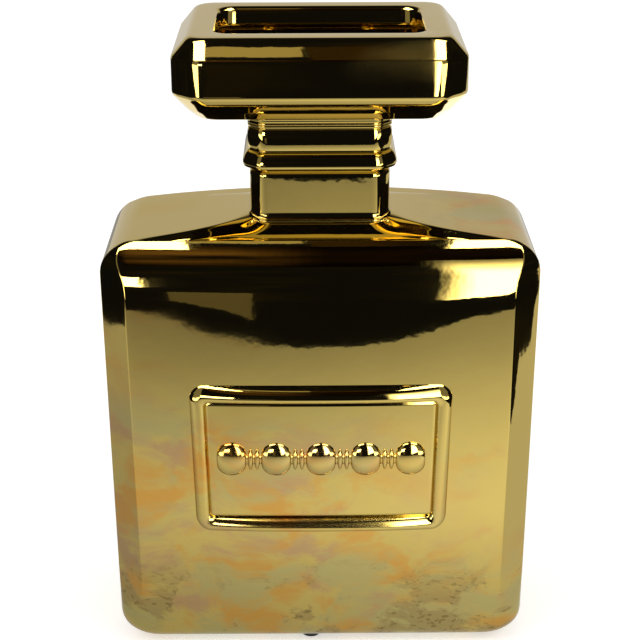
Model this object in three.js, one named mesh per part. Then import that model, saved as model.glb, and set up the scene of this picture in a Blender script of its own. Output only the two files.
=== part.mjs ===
// Bottle vase: a slip-cast flask with bevelled faces, a beaded neck, and a stopper-shaped head with the mouth.
// Millimetres, +Z up, front towards -Y, origin on the table under the middle of the flask.
import * as THREE from 'three';

// Flask
const FLASK_WIDTH = 168; // across the shoulders
const FLASK_DEPTH = 74;
const FLASK_HEIGHT = 170; // base to the ends of the shoulder
const FLASK_TAPER = 2; // each side draws in by this much at the base
const FLASK_BEVEL = 10; // 45 degree cut round the front and back faces
const SHOULDER_CORNER = 14; // corner radius of the front outline at the shoulders
const BASE_CORNER = 11; // and at the base
const BASE_ROUND = 8; // rounding under the front and back faces
const BASE_FLOOR = 6; // thickness of the base
const SHOULDER_RISE = 6.2; // ends of the shoulder up to the throat
const SHOULDER_CROWN = 3.6; // height of the even slope where it turns up to the throat
const SHOULDER_TURN = 8; // distance of that turn from the throat
const THROAT_LAND = 0.6; // flat left beside the neck's foot
const THROAT_APRON = 4.5; // flat left before and behind the neck's foot
const SADDLE_DIP = 1.5; // the neck's seat is lower by this much along its front and back
const THROAT_BORE = 2.5; // upright part of the bore under the seat
const SHOULDER_HOLD = 3; // power: the shoulder keeps its depth until near the throat

// Wall of all three castings
const WALL = 5;
const SOFT_EDGE = 1.5; // corner cut where two walls meet without a bevel

// Neck
const NECK_WIDTH = 53;
const NECK_DEPTH = 38.6;
const NECK_CORNER = 5;
const NECK_CORNER_ROUND = 0.2; // 0 is a straight corner cut, 1 an arc
const FOOT_HEIGHT = 1.8;
const FOOT_PROUD = 0.6; // foot and collar stand out from the panel by this much
const PANEL_HEIGHT = 15.2;
const QUIRK_HEIGHT = 1.5; // fine groove on both sides of the bead
const QUIRK_DEPTH = 0.7;
const BEAD_HEIGHT = 7;
const BEAD_PROUD = 2.6;
const BAND_HEIGHT = 6.8;
const COLLAR_HEIGHT = 1.4;
const COLLAR_SLOPE = 0.6; // sloping part under the collar

// Head
const HEAD_WIDTH = 108;
const HEAD_DEPTH = 77.6;
const HEAD_CORNER = 10.4; // cut on the four upright corners
const HEAD_FOOT_HEIGHT = 1.5; // its half of the collar
const HEAD_FLARE_HEIGHT = 1.5; // sweep from the collar to the underside
const UNDERSIDE_WIDTH = 91;
const UNDERSIDE_DEPTH = 46;
const UNDERSIDE_CORNER = 5;
const SLOPE_HEIGHT = 7; // sloping underside
const LOWER_BEVEL_HEIGHT = 3.8;
const LOWER_BEVEL_RUN = 2.6;
const FACE_HEIGHT = 13.6; // upright faces
const UPPER_BEVEL_HEIGHT = 7.2;
const UPPER_BEVEL_RUN = 6.2;
const MOUTH_WIDTH = 77;
const MOUTH_DEPTH = 45.6;
const MOUTH_CORNER = 7;
const LIP_ROUND = 2.4;
const LIP_DEPTH = 7; // thickness of the rim round the mouth
const HEAD_FLOOR = 4;
const FLOOR_INSET = 3; // the hollow's floor is narrower than the underside by this much all round
const HOLLOW_LIFT = 2; // the hollow's upright wall starts this much above the face's lower edge
const HOLLOW_EASE = 3; // easing of the hollow's upper edge
const BORE_EASE = 2; // widening of the bore at the floor
const BEVEL_ROUND = 0.12; // softening of a bevelled corner
const UNDERSIDE_ROUND = 0.4;
const RIM_CORNER = 7;
const RIM_ROUND = 0.9; // the rim's corners are nearly arcs

// Joining slip between the castings
const SLIP_HEIGHT = 1;
const SLIP_CLEARANCE = 0.25; // above and below each ring of slip
const SLIP_PROUD = 0.3; // past the neck's panel, just short of the foot

// Label
const LABEL_TOP_WIDTH = 102;
const LABEL_BOTTOM_WIDTH = 98.8;
const LABEL_HEIGHT = 61.6;
const LABEL_CENTRE = 84.5; // above the base
const LABEL_CORNER = 6;
const LABEL_PLATE = 0.9;
const BORDER_WIDTH = 6;
const BORDER_PROUD = 3;
const SEAT_GAP = 0.3; // behind the plaque and behind the ornament

// Ornament on the label
const ORNAMENT_MARGIN = 3.7; // left bare between each end and the border
const PEARL_COUNT = 5;
const PEARL_HEIGHT = 14;
const PEARL_PROUD = 2.4;
const REELS_BETWEEN = 2;
const REEL_LENGTH = 1.8;
const REEL_HEIGHT = 9;
const STRING_LENGTH = 0.8; // thin part beside each reel
const STRING_HEIGHT = 4.4;

// Pads under the base
const PAD_DIAMETER = 8;
const PAD_HEIGHT = 1.8;
const PAD_EDGE = 0.4;
const PAD_FILM = 0.2; // adhesive between pad and base
const PAD_SETBACK = 7; // behind the faces of the flask
const PAD_END_SETBACK = 20; // of the rear pads, from the sides of the flask
const FRONT_PAD_OFFSET = -4.2; // the front pad was stuck on left of the middle

// Facets
const CORNER_STEPS = 5; // round a corner of a ring
const QUARTER_STEPS = 6; // round a quarter turn of a profile
const SHOULDER_STEPS = 8;
const BEAD_STEPS = 8;
const QUIRK_STEPS = 3;
const FILLET_STEPS = 3; // foot of the neck, flare of the head
const LIP_STEPS = 3;
const PEARL_STEPS = 8;
const REEL_STEPS = 4;
const RELIEF_STEPS = 8;
const PAD_FACETS = 32;

// Levels that the castings share
const BASE_Z = PAD_HEIGHT + PAD_FILM;
const SHOULDER_Z = BASE_Z + FLASK_HEIGHT;
const CREASE_Z = SHOULDER_Z - FLASK_BEVEL;
const THROAT_Z = SHOULDER_Z + SHOULDER_RISE;
const NECK_Z = THROAT_Z + SLIP_HEIGHT;
const PANEL_TOP_Z = NECK_Z + FOOT_HEIGHT + PANEL_HEIGHT;
const BEAD_Z = PANEL_TOP_Z + QUIRK_HEIGHT;
const BAND_Z = BEAD_Z + BEAD_HEIGHT + QUIRK_HEIGHT;
const COLLAR_Z = BAND_Z + BAND_HEIGHT;
const NECK_TOP_Z = COLLAR_Z + COLLAR_HEIGHT;
const HEAD_Z = NECK_TOP_Z + SLIP_HEIGHT;
const FLARE_Z = HEAD_Z + HEAD_FOOT_HEIGHT;
const UNDERSIDE_Z = FLARE_Z + HEAD_FLARE_HEIGHT;
const LOWER_BEVEL_Z = UNDERSIDE_Z + SLOPE_HEIGHT;
const FACE_Z = LOWER_BEVEL_Z + LOWER_BEVEL_HEIGHT;
const FACE_TOP_Z = FACE_Z + FACE_HEIGHT;
const RIM_Z = FACE_TOP_Z + UPPER_BEVEL_HEIGHT;

// A wall inside a 45 degree bevel: its edge moves, and its cut shrinks, by these shares of the wall
const BEVEL_SHIFT = Math.SQRT2 - 1;
const CUT_LOSS = 2 - Math.SQRT2;

const { lerp, smoothstep } = THREE.MathUtils;

/** Angles over part of a turn, both ends included. */
function sweep(steps, turn) {
  return Array.from({ length: steps + 1 }, (_, step) => (turn * step) / steps);
}

/** Plan ring: a rectangle with cut corners, from a straight chamfer (round 0) to an arc (round 1).
 *  A ring with a dip is lower by that much along its front and back than along its sides. */
function ring({ halfWidth, halfDepth, cut, round, z, dip = 0 }) {
  const corners = [[1, 1], [-1, 1], [-1, -1], [1, -1]];
  return corners.flatMap(([sideX, sideY], corner) =>
    sweep(CORNER_STEPS, 1).map((along) => {
      const share = corner % 2 ? 1 - along : along;
      const angle = (share * Math.PI) / 2;
      const cutX = cut * lerp(share, 1 - Math.cos(angle), round);
      const cutY = cut * lerp(1 - share, 1 - Math.sin(angle), round);
      const fall = dip * smoothstep(share, 0, 1);
      return new THREE.Vector3(sideX * (halfWidth - cutX), sideY * (halfDepth - cutY), z - fall);
    }),
  );
}

/** Skins a row of rings. A closed row joins its last ring to its first, an open row is capped. */
function loft(rings, closed) {
  const size = rings[0].length;
  const points = rings.flat();
  const faces = [];
  const rows = closed ? rings.length : rings.length - 1;
  for (let row = 0; row < rows; row += 1) {
    const here = row * size;
    const there = ((row + 1) % rings.length) * size;
    for (let step = 0; step < size; step += 1) {
      const turn = (step + 1) % size;
      faces.push(here + step, here + turn, there + turn);
      faces.push(here + step, there + turn, there + step);
    }
  }
  if (!closed) {
    const last = (rings.length - 1) * size;
    const first = points.push(middle(rings[0]), middle(rings.at(-1))) - 2;
    for (let step = 0; step < size; step += 1) {
      const turn = (step + 1) % size;
      faces.push(first, turn, step);
      faces.push(first + 1, last + step, last + turn);
    }
  }
  const geometry = new THREE.BufferGeometry().setFromPoints(points);
  geometry.setIndex(faces);
  geometry.computeVertexNormals();
  return geometry;
}

function middle(points) {
  const sum = points.reduce((total, point) => total.add(point), new THREE.Vector3());
  return sum.divideScalar(points.length);
}

/** How far a round edge of this radius draws a side in, at a height within the rounding. */
function drawnIn(radius, height) {
  const short = Math.max(radius - height, 0);
  return radius - Math.sqrt(Math.max(radius ** 2 - short ** 2, 0));
}

/** Level section of the flask below its shoulder, on the outside or `wall` inside it. */
function flaskSection(z, wall) {
  const bottom = BASE_Z + (wall ? BASE_FLOOR : 0);
  const top = SHOULDER_Z - wall;
  const upBevel = Math.max(z - CREASE_Z + wall * BEVEL_SHIFT, 0);
  const side = FLASK_WIDTH / 2 - (FLASK_TAPER * (SHOULDER_Z - z)) / FLASK_HEIGHT;
  const corners = drawnIn(BASE_CORNER - wall, z - bottom) + drawnIn(SHOULDER_CORNER - wall, top - z);
  const face = FLASK_DEPTH / 2 - wall - upBevel;
  return {
    halfWidth: side - wall - corners,
    halfDepth: face - drawnIn(BASE_ROUND, z - bottom),
    cut: Math.max(FLASK_BEVEL - wall * CUT_LOSS - upBevel, SOFT_EDGE),
    round: BEVEL_ROUND,
    z,
  };
}

/** Sections from base to shoulder: round the lower corners, past the crease and round the upper corners. */
function flaskSections(wall) {
  const bottom = BASE_Z + (wall ? BASE_FLOOR : 0);
  const top = SHOULDER_Z - wall;
  const quarter = sweep(QUARTER_STEPS, Math.PI / 2);
  const lower = quarter.map((angle) => bottom + (BASE_CORNER - wall) * (1 - Math.cos(angle)));
  const upper = quarter.map((angle) => top - (SHOULDER_CORNER - wall) * (1 - Math.sin(angle)));
  const crease = CREASE_Z - wall * BEVEL_SHIFT;
  const levels = [...lower, ...upper, crease].sort((a, b) => a - b);
  return levels.map((z) => flaskSection(z, wall));
}

/** Sections over the crowned shoulder, which narrows towards the throat. Its front and back lag behind
 *  the rise of its middle, which leaves an inclined apron before and behind the neck. */
function shoulderSections(wall) {
  const end = new THREE.Vector2(FLASK_WIDTH / 2 - SHOULDER_CORNER, SHOULDER_Z);
  const throat = new THREE.Vector2(NECK_WIDTH / 2 + FOOT_PROUD + THROAT_LAND, THROAT_Z);
  const turn = new THREE.Vector2(throat.x + SHOULDER_TURN, SHOULDER_Z + SHOULDER_CROWN);
  const crown = new THREE.QuadraticBezierCurve(end, turn, throat);
  const bandDepth = FLASK_DEPTH / 2 - FLASK_BEVEL - wall * BEVEL_SHIFT;
  const throatDepth = NECK_DEPTH / 2 + FOOT_PROUD + THROAT_APRON - wall;
  return sweep(SHOULDER_STEPS, 1).slice(1).map((along) => {
    const point = crown.getPoint(along);
    const tangent = crown.getTangent(along);
    const narrowing = along ** SHOULDER_HOLD;
    const dip = Math.max(point.y - lerp(SHOULDER_Z, THROAT_Z - SADDLE_DIP, narrowing), 0);
    return {
      halfWidth: point.x - wall * tangent.y,
      halfDepth: lerp(bandDepth, throatDepth, narrowing),
      cut: lerp(SOFT_EDGE, NECK_CORNER, narrowing) + dip,
      round: lerp(BEVEL_ROUND, NECK_CORNER_ROUND, along),
      z: point.y + wall * tangent.x,
      dip,
    };
  });
}

/** Section of the neck, offset outwards, or inwards for its bore. */
function neckSection(offset, z, dip = 0) {
  return {
    halfWidth: NECK_WIDTH / 2 + offset,
    halfDepth: NECK_DEPTH / 2 + offset,
    cut: Math.max(NECK_CORNER + offset, SOFT_EDGE),
    round: NECK_CORNER_ROUND,
    z,
    dip,
  };
}

function flaskGeometry() {
  const outside = [...flaskSections(0), ...shoulderSections(0)];
  const inside = [...flaskSections(WALL), ...shoulderSections(WALL)];
  const seat = neckSection(FOOT_PROUD, THROAT_Z, SADDLE_DIP);
  const bore = [THROAT_Z - THROAT_BORE, THROAT_Z].map((z) => neckSection(-WALL, z, SADDLE_DIP));
  const sections = [...outside, seat, ...[...inside, ...bore].reverse()];
  return loft(sections.map(ring), false);
}

/** Half-round moulding as offsets and levels. A negative relief makes it a groove. */
function halfRound(relief, z, height, steps) {
  return sweep(steps, Math.PI).map((angle) => [
    relief * Math.sin(angle),
    z + (height * (1 - Math.cos(angle))) / 2,
  ]);
}

function neckGeometry() {
  const foot = sweep(FILLET_STEPS, Math.PI / 2).map((angle) => [
    FOOT_PROUD * (1 - Math.sin(angle)),
    NECK_Z + FOOT_HEIGHT * (1 - Math.cos(angle)),
    SADDLE_DIP,
  ]);
  const quirk = (z) => halfRound(-QUIRK_DEPTH, z, QUIRK_HEIGHT, QUIRK_STEPS).slice(1, -1);
  const bead = halfRound(BEAD_PROUD, BEAD_Z, BEAD_HEIGHT, BEAD_STEPS);
  const top = [
    [0, BAND_Z],
    [0, COLLAR_Z],
    [FOOT_PROUD, COLLAR_Z + COLLAR_SLOPE],
    [FOOT_PROUD, NECK_TOP_Z],
  ];
  const bore = [
    [-WALL, NECK_TOP_Z],
    [-WALL, NECK_Z, SADDLE_DIP],
  ];
  const lower = [...foot, [0, PANEL_TOP_Z], ...quirk(PANEL_TOP_Z)];
  const upper = [...quirk(BEAD_Z + BEAD_HEIGHT), ...top];
  const profile = [...lower, ...bead, ...upper, ...bore];
  return loft(profile.map(([offset, z, dip]) => ring(neckSection(offset, z, dip))), true);
}

function headGeometry() {
  const section = (width, depth, cut, round, z) => ({
    halfWidth: width / 2,
    halfDepth: depth / 2,
    cut,
    round,
    z,
  });
  const foot = neckSection(FOOT_PROUD, HEAD_Z);
  const underside = section(UNDERSIDE_WIDTH, UNDERSIDE_DEPTH, UNDERSIDE_CORNER, UNDERSIDE_ROUND, UNDERSIDE_Z);
  const flare = sweep(FILLET_STEPS, Math.PI / 2).map((angle) => {
    const share = 1 - Math.cos(angle);
    return {
      halfWidth: lerp(foot.halfWidth, underside.halfWidth, share),
      halfDepth: lerp(foot.halfDepth, underside.halfDepth, share),
      cut: lerp(foot.cut, underside.cut, share),
      round: lerp(foot.round, underside.round, share),
      z: FLARE_Z + HEAD_FLARE_HEIGHT * Math.sin(angle),
    };
  });
  const lowerRun = 2 * LOWER_BEVEL_RUN;
  const slopeTop = section(
    HEAD_WIDTH - lowerRun,
    HEAD_DEPTH - lowerRun,
    HEAD_CORNER,
    BEVEL_ROUND,
    LOWER_BEVEL_Z,
  );
  const faceLow = section(HEAD_WIDTH, HEAD_DEPTH, HEAD_CORNER, BEVEL_ROUND, FACE_Z);
  const faceHigh = { ...faceLow, z: FACE_TOP_Z };
  const upperRun = 2 * UPPER_BEVEL_RUN;
  const rim = section(HEAD_WIDTH - upperRun, HEAD_DEPTH - upperRun, RIM_CORNER, RIM_ROUND, RIM_Z);
  const lip = sweep(LIP_STEPS, Math.PI / 2).map((angle) => {
    const out = LIP_ROUND * (1 - Math.sin(angle));
    const z = RIM_Z - LIP_ROUND * (1 - Math.cos(angle));
    return section(MOUTH_WIDTH + 2 * out, MOUTH_DEPTH + 2 * out, MOUTH_CORNER + out, 1, z);
  });
  const lipUnder = RIM_Z - LIP_DEPTH;
  const mouth = section(MOUTH_WIDTH, MOUTH_DEPTH, MOUTH_CORNER, 1, lipUnder);
  const within = (outer, inset, z) => ({
    ...outer,
    halfWidth: outer.halfWidth - inset,
    halfDepth: outer.halfDepth - inset,
    cut: outer.cut - inset * CUT_LOSS,
    z,
  });
  const inside = [
    within(faceHigh, WALL + HOLLOW_EASE, lipUnder),
    within(faceHigh, WALL, lipUnder - HOLLOW_EASE),
    within(faceLow, WALL, FACE_Z + HOLLOW_LIFT),
    within(underside, FLOOR_INSET, UNDERSIDE_Z + HEAD_FLOOR),
    neckSection(BORE_EASE - WALL, FLARE_Z + HEAD_FLOOR),
    neckSection(-WALL, FLARE_Z + HEAD_FLOOR - BORE_EASE),
    neckSection(-WALL, HEAD_Z),
  ];
  const outside = [foot, ...flare, slopeTop, faceLow, faceHigh, rim];
  return loft([...outside, ...lip, mouth, ...inside].map(ring), true);
}

/** Ring of joining slip that sits on the casting below it. */
function slipGeometry(z, dip) {
  const low = z + SLIP_CLEARANCE;
  const high = z + SLIP_HEIGHT - SLIP_CLEARANCE;
  const profile = [
    [SLIP_PROUD, low],
    [SLIP_PROUD, high],
    [-WALL, high],
    [-WALL, low],
  ];
  return loft(profile.map(([offset, level]) => ring(neckSection(offset, level, dip))), true);
}

/** Plaque lying on its back: a thin plate with a half-round border, drawn in towards its lower edge. */
function plaqueGeometry() {
  const width = (LABEL_TOP_WIDTH + LABEL_BOTTOM_WIDTH) / 2;
  const plateAngle = Math.asin(LABEL_PLATE / BORDER_PROUD);
  const border = sweep(QUARTER_STEPS, Math.PI - plateAngle).map((angle) => ({
    inset: (BORDER_WIDTH * (1 - Math.cos(angle))) / 2,
    z: BORDER_PROUD * Math.sin(angle),
  }));
  const rings = border.map(({ inset, z }) =>
    ring({
      halfWidth: width / 2 - inset,
      halfDepth: LABEL_HEIGHT / 2 - inset,
      cut: Math.max(LABEL_CORNER - inset, SOFT_EDGE),
      round: 1,
      z,
    }),
  );
  const drawIn = (LABEL_TOP_WIDTH - LABEL_BOTTOM_WIDTH) / (width * LABEL_HEIGHT);
  rings.flat().forEach((point) => {
    point.x *= 1 + drawIn * point.y;
  });
  return loft(rings, false);
}

/** Half-round bead-and-reel strip lying on its back: pearls with thin reels between them on one string. */
function ornamentGeometry() {
  const labelWidth = (LABEL_TOP_WIDTH + LABEL_BOTTOM_WIDTH) / 2;
  const span = labelWidth - 2 * (BORDER_WIDTH + ORNAMENT_MARGIN);
  const reelSpan = REELS_BETWEEN * (REEL_LENGTH + STRING_LENGTH) + STRING_LENGTH;
  const pearlLength = (span - (PEARL_COUNT - 1) * reelSpan) / PEARL_COUNT;
  const stations = [];
  let x = 0;
  const turned = (length, height, steps) => {
    sweep(steps, Math.PI).forEach((angle) => {
      const tall = lerp(STRING_HEIGHT, height, Math.sin(angle));
      stations.push({ x: x + (length * (1 - Math.cos(angle))) / 2, tall });
    });
    x += length;
  };
  for (let pearl = 0; pearl < PEARL_COUNT; pearl += 1) {
    turned(pearlLength, PEARL_HEIGHT, PEARL_STEPS);
    const reels = pearl < PEARL_COUNT - 1 ? REELS_BETWEEN : 0;
    for (let reel = 0; reel < reels; reel += 1) {
      x += STRING_LENGTH;
      turned(REEL_LENGTH, REEL_HEIGHT, REEL_STEPS);
    }
    x += reels ? STRING_LENGTH : 0;
  }
  const rings = stations.map((station) =>
    sweep(RELIEF_STEPS, Math.PI).map((angle) => {
      const proud = (PEARL_PROUD * station.tall) / PEARL_HEIGHT;
      const across = (station.tall / 2) * Math.cos(angle);
      return new THREE.Vector3(station.x - span / 2, across, proud * Math.sin(angle));
    }),
  );
  return loft(rings, false);
}

function padGeometry() {
  const radius = PAD_DIAMETER / 2;
  const profile = [
    new THREE.Vector2(0, 0),
    new THREE.Vector2(radius - PAD_EDGE, 0),
    new THREE.Vector2(radius, PAD_EDGE),
    new THREE.Vector2(radius, PAD_HEIGHT),
    new THREE.Vector2(0, PAD_HEIGHT),
  ];
  return new THREE.LatheGeometry(profile, PAD_FACETS).rotateX(Math.PI / 2);
}

const goldLustre = new THREE.MeshStandardMaterial({ color: 0xb8964a, roughness: 0.1, metalness: 1 });
const blackRubber = new THREE.MeshStandardMaterial({ color: 0x161514, roughness: 0.8, metalness: 0 });

function piece(name, geometry, material) {
  const mesh = new THREE.Mesh(geometry, material);
  mesh.name = name;
  return mesh;
}

const vase = new THREE.Group();
vase.add(piece('body_casting', flaskGeometry(), goldLustre));
vase.add(piece('lower_slip_joint', slipGeometry(THROAT_Z, SADDLE_DIP), goldLustre));
vase.add(piece('neck_casting', neckGeometry(), goldLustre));
vase.add(piece('upper_slip_joint', slipGeometry(NECK_TOP_Z, 0), goldLustre));
vase.add(piece('head_casting', headGeometry(), goldLustre));

// The label stands against the front face: its own Z points towards the front, its own Y up.
const label = new THREE.Group();
label.rotation.x = Math.PI / 2;
label.position.set(0, -FLASK_DEPTH / 2 - SEAT_GAP, BASE_Z + LABEL_CENTRE);
const ornament = piece('label_ornament', ornamentGeometry(), goldLustre);
ornament.position.z = LABEL_PLATE + SEAT_GAP;
label.add(piece('label_plaque', plaqueGeometry(), goldLustre), ornament);
vase.add(label);

// One pad in front and two behind, near the edges of the base.
const padRow = FLASK_DEPTH / 2 - PAD_SETBACK - PAD_DIAMETER / 2;
const padEnd = FLASK_WIDTH / 2 - PAD_END_SETBACK - PAD_DIAMETER / 2;
const padPlaces = {
  foot_pad_front: [FRONT_PAD_OFFSET, -padRow],
  foot_pad_rear_left: [-padEnd, padRow],
  foot_pad_rear_right: [padEnd, padRow],
};
for (const [name, [x, y]] of Object.entries(padPlaces)) {
  const pad = piece(name, padGeometry(), blackRubber);
  pad.position.set(x, y, 0);
  vase.add(pad);
}

export default vase;
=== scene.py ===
"""Bottle vase in gold lustre ceramic: three castings, a plaque with bead-and-reel relief, rubber pads."""
import math
from collections import namedtuple

import bmesh
import bpy
from mathutils import Matrix, Vector


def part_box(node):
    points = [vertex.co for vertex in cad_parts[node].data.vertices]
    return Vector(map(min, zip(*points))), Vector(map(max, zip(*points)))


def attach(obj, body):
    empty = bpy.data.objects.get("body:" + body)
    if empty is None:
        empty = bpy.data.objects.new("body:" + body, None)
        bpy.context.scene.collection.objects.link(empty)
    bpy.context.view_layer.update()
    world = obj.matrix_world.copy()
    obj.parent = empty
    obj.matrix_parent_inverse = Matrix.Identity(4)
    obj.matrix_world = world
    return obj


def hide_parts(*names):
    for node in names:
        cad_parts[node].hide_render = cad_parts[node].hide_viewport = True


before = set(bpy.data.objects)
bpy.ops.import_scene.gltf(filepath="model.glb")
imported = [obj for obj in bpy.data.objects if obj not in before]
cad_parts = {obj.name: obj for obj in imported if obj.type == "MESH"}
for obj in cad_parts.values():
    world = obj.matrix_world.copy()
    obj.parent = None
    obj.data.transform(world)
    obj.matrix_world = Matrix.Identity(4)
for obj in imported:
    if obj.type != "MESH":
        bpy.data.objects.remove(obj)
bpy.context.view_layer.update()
MM = 0.001

# Flask, read off its casting
flask_low, flask_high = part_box("body_casting")
FLASK_HALF_DEPTH = flask_high.y
BASE_Z = flask_low.z
THROAT_Z = flask_high.z
SHOULDER_RISE = 6.2 * MM
SHOULDER_Z = THROAT_Z - SHOULDER_RISE
FLASK_HEIGHT = SHOULDER_Z - BASE_Z
FLASK_TAPER = 2 * MM
FLASK_BEVEL = 10 * MM
TOP_BEVEL = 12.5 * MM  # height of the bevel over the front and back
SHOULDER_CORNER = 14 * MM
BASE_CORNER = 11 * MM
FLASK_HALF_WIDTH = flask_high.x + FLASK_TAPER * SHOULDER_CORNER / FLASK_HEIGHT
BASE_ROUND = 8 * MM
BASE_FLOOR = 6 * MM
BASE_CUT = 6.5 * MM  # what the side bevels have shrunk to at the base
BASE_BLEND = 30 * MM
CREASE_Z = SHOULDER_Z - TOP_BEVEL
SHOULDER_CROWN = 3.6 * MM
SHOULDER_TURN = 8 * MM
THROAT_LAND = 0.6 * MM
THROAT_APRON = 0.8 * MM
THROAT_BORE = 2.5 * MM
SADDLE_DIP = 1.5 * MM
SHOULDER_HOLD = 3  # power: the shoulder keeps its depth until near the throat
APRON_SWEEP = 1.25  # power: the apron before the neck lies flat at first
FACE_CROWN = 2 * MM  # the big faces swell by this much from their rims to the middle
RIM_LOSS = 1 * MM  # part of that by which the rims draw back
BEVEL_CROWN = 0.9 * MM  # swell of the bevel over the front and back
CREASE_SOFT = 4 * MM  # reach of the soft turn from the faces to that bevel
FACE_ROLL = 0.5 * MM  # the faces roll back by this much towards that turn
ROLL_Z = CREASE_Z - 11 * MM
SIDE_SOFT = 0.5 * MM  # reach of the soft turns to the bevels at the sides
BACK_RISE = 4.6 * MM  # the shoulder's back edge rises by this much towards the neck
BACK_HALF_WIDTH = 76 * MM  # this far to each side the rise begins
BACK_BLEND = 22 * MM  # depth behind the middle over which it comes in
WALL = 5 * MM

# Neck, read off its casting
neck_low, neck_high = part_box("neck_casting")
BEAD_PROUD = 2.6 * MM
NECK_HALF_WIDTH = neck_high.x - BEAD_PROUD
NECK_HALF_DEPTH = neck_high.y - BEAD_PROUD
NECK_Z = neck_low.z + SADDLE_DIP
NECK_TOP_Z = neck_high.z
NECK_CUT = 4.5 * MM
NECK_EDGE = 2 * MM  # reach of its soft upright edges
FOOT_PROUD = 0.6 * MM
FOOT_HEIGHT = 1.8 * MM
PANEL_HEIGHT = 15.7 * MM
PANEL_ROUND = 1.4 * MM  # at its upper edge
PANEL_LEAN = 0.68 * MM  # front and back of the panel stand in at the foot and out at the top by this much
QUIRK_HEIGHT = 0.7 * MM  # groove under the bead
BEAD_HEIGHT = 6.7 * MM
BEAD_SKEW = 1.7  # power: above 1 the bead's crest lies below its middle
BAND_SWELL = 0.8 * MM
BAND_LEAN = 0.2 * MM  # front and back of the band lean out like the panel's
COLLAR_HEIGHT = 1.4 * MM
COLLAR_SLOPE = 0.6 * MM
PANEL_TOP_Z = NECK_Z + FOOT_HEIGHT + PANEL_HEIGHT
BEAD_Z = PANEL_TOP_Z + QUIRK_HEIGHT
BAND_Z = BEAD_Z + BEAD_HEIGHT
COLLAR_Z = NECK_TOP_Z - COLLAR_HEIGHT

# Head, read off its casting
head_low, head_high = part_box("head_casting")
HEAD_HALF_WIDTH = head_high.x
HEAD_HALF_DEPTH = head_high.y
HEAD_Z = head_low.z
RIM_Z = head_high.z
HEAD_CUT = 9.2 * MM
HEAD_EDGE = 3 * MM  # reach of the soft upright edges
HEAD_FOOT_HEIGHT = 1.5 * MM
HEAD_FLARE_HEIGHT = 1.5 * MM
UNDERSIDE_HALF_WIDTH = 45.5 * MM
UNDERSIDE_HALF_DEPTH = 25.5 * MM
UNDERSIDE_CUT = 4.5 * MM
SLOPE_HEIGHT = 8.2 * MM
SLOPE_BELLY = 0.45  # halfway out, the slope has come up by this share only
LOWER_BEVEL_HEIGHT = 2.6 * MM
LOWER_BEVEL_RUN = 1.8 * MM
UPPER_BEVEL_HEIGHT = 7.2 * MM
UPPER_BEVEL_RUN = 6.2 * MM
RIM_CUT = 3.6 * MM
MOUTH_HALF_WIDTH = 38.5 * MM
MOUTH_HALF_DEPTH = 22.8 * MM
MOUTH_CUT = 4.1 * MM
LIP_ROUND = 2.4 * MM
LIP_DEPTH = 7 * MM
HEAD_FLOOR = 4 * MM
FLOOR_INSET = 3 * MM
HOLLOW_LIFT = 2 * MM
HOLLOW_EASE = 3 * MM
BORE_EASE = 2 * MM
RIM_SETBACK = 1.3 * MM  # the rim and mouth sit this far behind the middle
RIM_STRETCH = 0.03  # and are longer from front to back by this share

# Plaque, ornament and joining slip
plaque_low, plaque_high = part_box("label_plaque")
ornament_low, ornament_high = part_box("label_ornament")
BAR_OUTSIDE = 3.0 * MM  # width of the border's bars outside their crest
BAR_RADIUS = 2.6 * MM  # of their inner side, down to the plate
BAR_TURN = math.radians(86)
BAR_LIFT = 0.8 * MM  # their crest over the casting's
PLATE = 0.9 * MM
PLATE_STEPS = (48, 24)
PLAQUE_CUT = 3.5 * MM
PLAQUE_DRAW_IN = 0.8 * MM  # each side, at the lower edge, and as much wider at the upper
PLAQUE_END_DROP = 2 * MM  # the border gets lower towards the plaque's ends
PLAQUE_SINK = 0.9 * MM  # the fillet of slip round the plaque ends this far below its back
PLAQUE_SAG = 0.4  # share of its height by which the border hangs down, as the wet slip sagged
PEARL_COUNT = 5
REELS_BETWEEN = 2
REEL_LENGTH = 1.8 * MM
REEL_HEIGHT = 9 * MM
STRING_LENGTH = 0.8 * MM
STRING_HEIGHT = 4.4 * MM
SLIP_PROUD = 0.8 * MM
SLIP_ROUND = 0.6 * MM

# Pads
PAD_TAPER = 0.95  # the underside's radius, as a share of the upper side's
PAD_EDGE = 0.4 * MM

# Softness of the edges
EDGE = 1.1 * MM  # reach of a glazed edge to each side
SOFT_CUT = 1.6 * MM  # smallest corner cut
DIAGONAL = 0.7071  # a step along a corner cut goes sideways by this share
FULL_ROUND = DIAGONAL  # reach, as a share of the cut, that turns a corner cut into an arc
CUT_LOSS = 2 - math.sqrt(2)  # a corner cut gets shorter by this share of an inset
CREASE_SHIFT = math.sqrt(2) - 1  # inside, the crease under a bevel lies lower by this share of the wall

# Mesh density
FACE_STEPS = 22  # half a front or back edge of a ring
SIDE_STEPS = 8
EDGE_STEPS = 5
CUT_STEPS = 4
CORNER_LEVELS = 16
WALL_LEVELS = 40
CREST_LEVELS = 40
SHOULDER_LEVELS = 48
MOULDING_STEPS = 16
FILLET_STEPS = 6
TURN_STEPS = 40  # round the ornament
PEARL_STEPS = 20
REEL_STEPS = 8
PAD_SEGMENTS = 48
PAD_EDGE_STEPS = 3
TINY = MM / 1000  # nearer points are one

Section = namedtuple("Section", "half_width half_depth cut reach z dip")
Point = namedtuple("Point", "x y")


def lerp(start, end, share):
    return start + (end - start) * share


def shares(steps):
    """Even shares from 0 to 1, both ends included."""
    return [step / steps for step in range(steps + 1)]


def clamp(share):
    return min(max(share, 0.0), 1.0)


def smooth(share):
    """The share with a gentle start and end."""
    return share * share * (3 - 2 * share)


def between(first, second, share):
    """Section or point a share of the way from the first to the second."""
    return type(first)(*(lerp(a, b, share) for a, b in zip(first, second)))


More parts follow.
